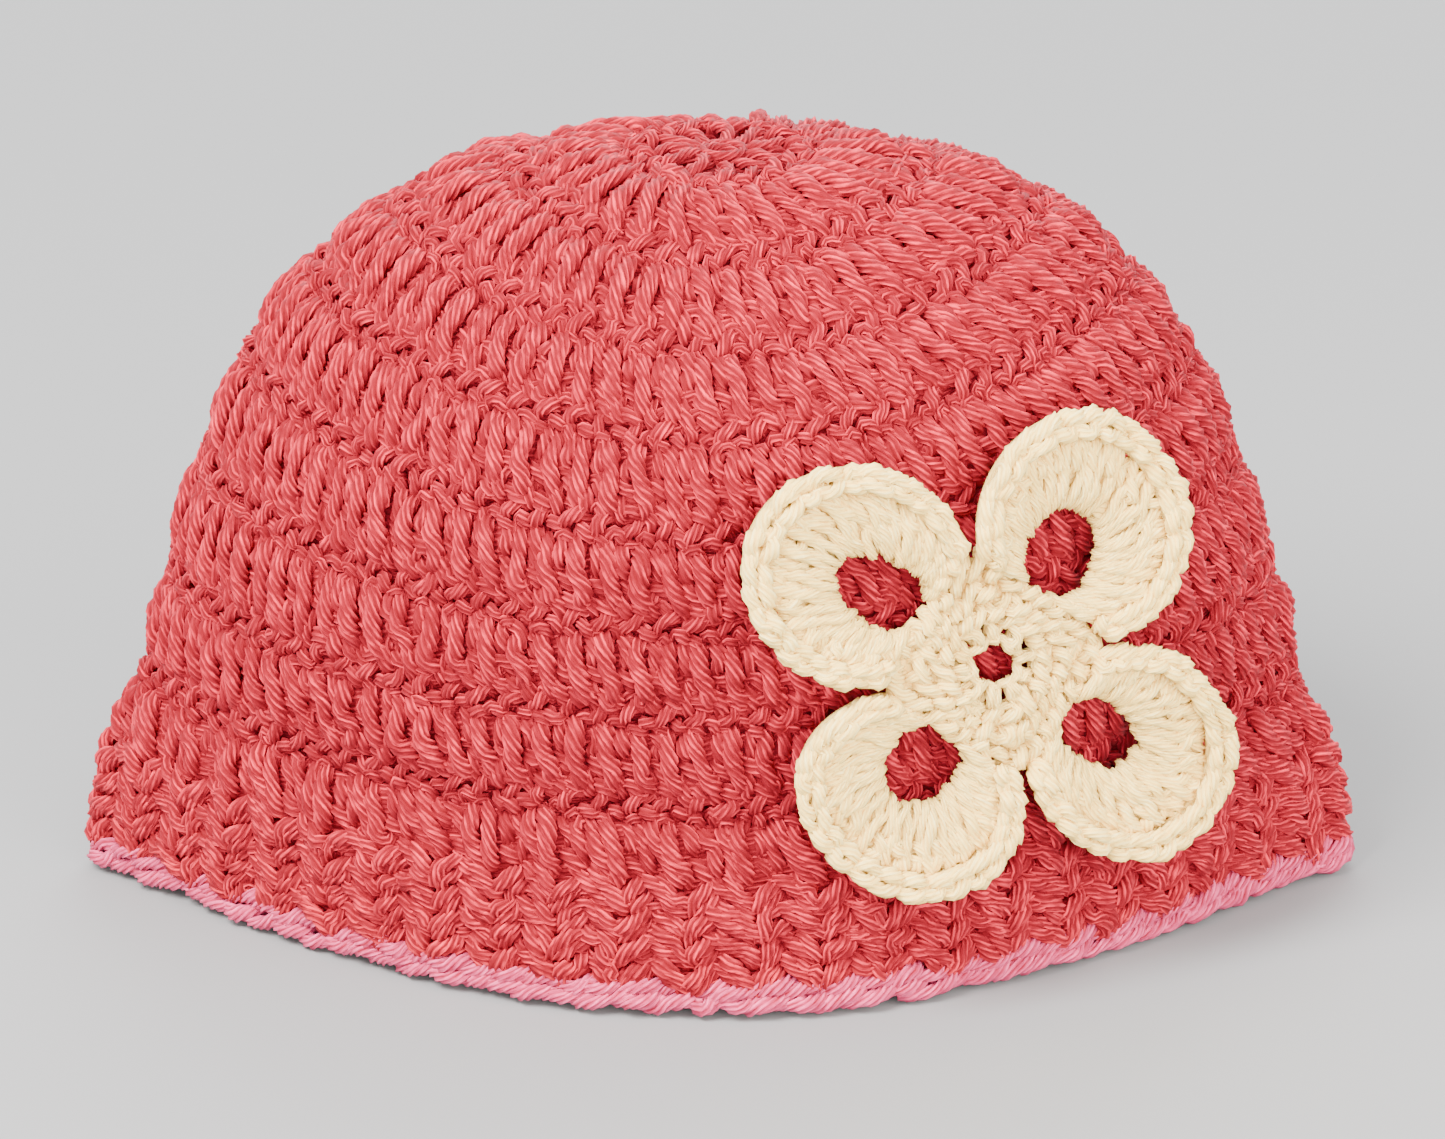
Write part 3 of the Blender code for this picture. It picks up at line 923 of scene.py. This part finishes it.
def square_reach(turn, reach, square):
    """A distance from the flower's middle, drawn out towards the corners of its square centre."""
    base = math.radians(PETAL_TURNS["upper_right"])
    corner = np.maximum(np.abs(np.cos(turn - base)), np.abs(np.sin(turn - base)))
    return reach * (1.0 + square * (np.minimum(1.0 / corner, CORNER_REACH) - 1.0))


def ring_of_stitches(stitch, count, inner, outer, square, rng):
    """The closed path of a ring of stitches in the flower's centre. square goes from round to square."""
    pitch = math.pi * (inner + outer) / count
    across, down, out, size = uneven_rows(stitch, count, pitch, abs(outer - inner), rng).T
    turn = across / count * 2.0 * math.pi
    reach = square_reach(turn, inner + (outer - inner) * down, square)
    path = np.column_stack([reach * np.cos(turn), reach * np.sin(turn), FLOWER_LIFT + out])
    return smooth_loop(np.column_stack([lay_on_flower(path), out, size]))


def center_backing():
    """The dense inner strands of the flower's centre: a band that grows from round to square."""
    turn = np.linspace(0.0, 2.0 * math.pi, CENTER_BAND_COLUMNS, endpoint=False)
    edges = ((6.1, 0.0), (8.2, 0.3), (10.2, 0.7), (11.6, 1.0))
    rows = [(reach, square, CENTER_BAND_OUTER) for reach, square in edges]
    rows += [(reach, square, CENTER_BAND_INNER) for reach, square in edges[::-1]]
    loops = []
    for reach, square, level in rows:
        out = square_reach(turn, reach, square)
        height = np.full(len(turn), FLOWER_LIFT + level)
        loops.append(lay_on_flower(np.column_stack([out * np.cos(turn), out * np.sin(turn), height])))
    return band_arrays(np.array(loops), CENTER_BAND_OUTER, True)


def flower_center(material):
    """The flower's centre: a ring with small gaps round its hole, then rounds that grow square.

    A ring is its stitch, their count, its inner and outer reach, how square it is, and its yarn.
    """
    rng = np.random.default_rng(SEED + 2)
    rings = (
        (HOLE_LOOP, 10, 3.4, 3.8, 0.0, 0.62),
        (CENTER_POST, 10, 3.6, 6.0, 0.0, 0.60),
        (CENTER_STITCH, 18, 6.0, 8.2, 0.1, 0.82),
        (CENTER_STITCH, 24, 8.0, 10.2, 0.5, 0.82),
        (CENTER_STITCH, 30, 10.0, 12.2, 1.0, 0.82),
    )
    strands = [center_backing()]
    for stitch, count, inner, outer, square, radius in rings:
        strands.append(yarn_arrays(ring_of_stitches(stitch, count, inner, outer, square, rng), radius))
    piece = make_piece("yarn_flower_center", strands, material, "flower_center")
    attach(piece, "cap")


def sewing_yarn(material):
    """Running stitches between the flower's centre and the cap."""
    turn = np.arange(SEWING_POINTS) / SEWING_POINTS * 2.0 * math.pi
    lift = SEWING_LIFT + SEWING_RISE * np.sin(turn * SEWING_STITCHES)
    surface, normal = cap_under_flower(SEWING_RADIUS * np.cos(turn), SEWING_RADIUS * np.sin(turn))
    place = surface + normal * lift[:, None]
    loop = smooth_loop(np.column_stack([place, np.zeros(SEWING_POINTS), np.ones(SEWING_POINTS)]))
    strand = yarn_arrays(loop, SEWING_YARN_RADIUS)
    piece = make_piece("yarn_sewing", [strand], material, "sewing_yarn")
    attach(piece, "cap")


# ---------------------------------------------------------------- materials

def node(tree, kind, **inputs):
    """A new node with some of its inputs set."""
    made = tree.nodes.new(kind)
    for name, value in inputs.items():
        made.inputs[name.replace("_", " ")].default_value = value
    return made


def maths(tree, operation, first, second=None):
    """The result of a sum. Each term is a number or another node's output."""
    made = tree.nodes.new("ShaderNodeMath")
    made.operation = operation
    for socket, value in zip(made.inputs, (first, second)):
        if value is None:
            continue
        if isinstance(value, (int, float)):
            socket.default_value = value
        else:
            tree.links.new(value, socket)
    return made.outputs[0]


def ply_noise(tree, around, along, size):
    """Noise drawn out along the plies, from a strand's own coordinates."""
    per_ply, per_length = size
    place = tree.nodes.new("ShaderNodeCombineXYZ")
    tree.links.new(maths(tree, "MULTIPLY", around, per_ply * YARN_PLIES), place.inputs[0])
    tree.links.new(maths(tree, "MULTIPLY", along, per_length), place.inputs[1])
    noise = node(tree, "ShaderNodeTexNoise", Scale=1.0, Detail=2.0)
    tree.links.new(place.outputs[0], noise.inputs["Vector"])
    return noise.outputs["Fac"]


def yarn_material(name, deep_and_shade, middle, bright_and_highlight, sheen):
    """Plied yarn: finely fibred and randomly blotched, the blotches also serving as painted highlights;
    painted highlight on its plies, and painted shade between them and where it is set back.
    """
    material = bpy.data.materials.new(name)
    material.use_nodes = True
    tree = material.node_tree
    shader = tree.nodes["Principled BSDF"]
    shader.inputs["Roughness"].default_value = 0.55
    shader.inputs["Sheen Weight"].default_value = sheen
    shader.inputs["Sheen Roughness"].default_value = 0.5
    shader.inputs["Sheen Tint"].default_value = (*bright_and_highlight, 1.0)
    shader.inputs["Specular IOR Level"].default_value = 0.3
    shader.inputs["Specular Tint"].default_value = (*bright_and_highlight, 1.0)
    uv = tree.nodes.new("ShaderNodeUVMap")
    uv.uv_map = "yarn"
    split = tree.nodes.new("ShaderNodeSeparateXYZ")
    tree.links.new(uv.outputs["UV"], split.inputs[0])
    around, along = split.outputs[0], split.outputs[1]
    # Painted shade in the grooves between the plies and painted highlight on their tops; the same ply
    # pattern also drives the bump.
    wave = maths(tree, "SINE", maths(tree, "MULTIPLY", around, math.pi * YARN_PLIES))
    ply = maths(tree, "ABSOLUTE", wave)
    fibre = ply_noise(tree, around, along, FIBRE_SIZE)
    # Random blotches along the plies, which also serve as uneven painted highlights.
    blotch_and_highlight = ply_noise(tree, around, along, BLOTCH_AND_HIGHLIGHT_SIZE)
    # Painted shade: the further a strand is set back behind the fabric's middle, the darker its colour.
    relief = tree.nodes.new("ShaderNodeAttribute")
    relief.attribute_name = "relief"
    raised = maths(tree, "ADD", relief.outputs["Fac"], RELIEF_START)
    tone = maths(tree, "MULTIPLY", raised, RELIEF_SHADE_TONE)
    for pattern, share in ((ply, PLY_SHADE_AND_HIGHLIGHT_TONE), (fibre, FIBRE_TONE), (blotch_and_highlight, BLOTCH_AND_HIGHLIGHT_TONE)):
        tone = maths(tree, "ADD", tone, maths(tree, "MULTIPLY", pattern, share))
    tone = maths(tree, "SUBTRACT", tone, TONE_DROP)
    # The deep stop doubles as painted shade and the bright stop as painted highlight.
    ramp = tree.nodes.new("ShaderNodeValToRGB")
    ramp.color_ramp.elements.new(0.5)
    for stop, color in zip(ramp.color_ramp.elements, (deep_and_shade, middle, bright_and_highlight)):
        stop.color = (*color, 1.0)
    tree.links.new(tone, ramp.inputs["Fac"])
    tree.links.new(ramp.outputs["Color"], shader.inputs["Base Color"])
    bump_height = maths(tree, "ADD", maths(tree, "MULTIPLY", ply, PLY_BUMP), fibre)
    bump = node(tree, "ShaderNodeBump", Strength=1.0, Distance=BUMP_DEPTH)
    tree.links.new(bump_height, bump.inputs["Height"])
    tree.links.new(bump.outputs["Normal"], shader.inputs["Normal"])
    return material


def floor_material():
    material = bpy.data.materials.new("pale_floor")
    material.use_nodes = True
    shader = material.node_tree.nodes["Principled BSDF"]
    shader.inputs["Base Color"].default_value = (*FLOOR_COLOR, 1.0)
    shader.inputs["Roughness"].default_value = 0.9
    return material


# ---------------------------------------------------------------- stage, lights and camera

def stage():
    bpy.ops.mesh.primitive_plane_add(size=FLOOR_SIZE, location=(0.0, 0.0, 0.0))
    floor = bpy.context.object
    floor.name = "floor"
    floor.data.materials.append(floor_material())


def area_light(name, place, size, power, color):
    data = bpy.data.lights.new(name, "AREA")
    data.shape = "DISK"
    data.size = size
    data.energy = power
    data.color = color
    lamp = bpy.data.objects.new(name, data)
    lamp.location = place
    lamp.rotation_mode = "QUATERNION"
    lamp.rotation_quaternion = (Vector(LIT_POINT) - Vector(place)).to_track_quat("-Z", "Y")
    bpy.context.scene.collection.objects.link(lamp)


def lights():
    for light in LIGHTS:
        area_light(*light)
    world = bpy.data.worlds.new("studio")
    world.use_nodes = True
    background = world.node_tree.nodes["Background"]
    background.inputs["Color"].default_value = (*WORLD_COLOR, 1.0)
    background.inputs["Strength"].default_value = WORLD_STRENGTH
    bpy.context.scene.world = world


def camera():
    data = bpy.data.cameras.new("camera")
    data.sensor_width = SENSOR
    data.lens = SENSOR * VIEW_DISTANCE / VIEW_WIDTH
    data.clip_start = VIEW_START
    eye = bpy.data.objects.new("camera", data)
    rise = math.radians(VIEW_ELEVATION)
    back = Vector((0.0, -math.cos(rise), math.sin(rise)))
    eye.location = Vector(LOOK_AT) + back * VIEW_DISTANCE
    eye.rotation_mode = "QUATERNION"
    eye.rotation_quaternion = (-back).to_track_quat("-Z", "Y")
    bpy.context.scene.collection.objects.link(eye)
    bpy.context.scene.camera = eye


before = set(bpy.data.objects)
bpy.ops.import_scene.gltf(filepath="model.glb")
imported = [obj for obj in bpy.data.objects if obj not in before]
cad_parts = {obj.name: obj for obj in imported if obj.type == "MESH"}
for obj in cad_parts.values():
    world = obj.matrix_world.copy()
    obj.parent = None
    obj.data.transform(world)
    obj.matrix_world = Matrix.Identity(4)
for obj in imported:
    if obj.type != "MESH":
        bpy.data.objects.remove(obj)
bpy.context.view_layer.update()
camera()
stage()
lights()
coral = yarn_material("coral_yarn_look", *CORAL)
coral_edge = yarn_material("coral_edge_look", *CORAL_EDGE)
cream = yarn_material("cream_yarn_look", *CREAM)
cap_rounds(coral, coral_edge)
start_ring(coral)
petals(cream)
flower_center(cream)
sewing_yarn(cream)
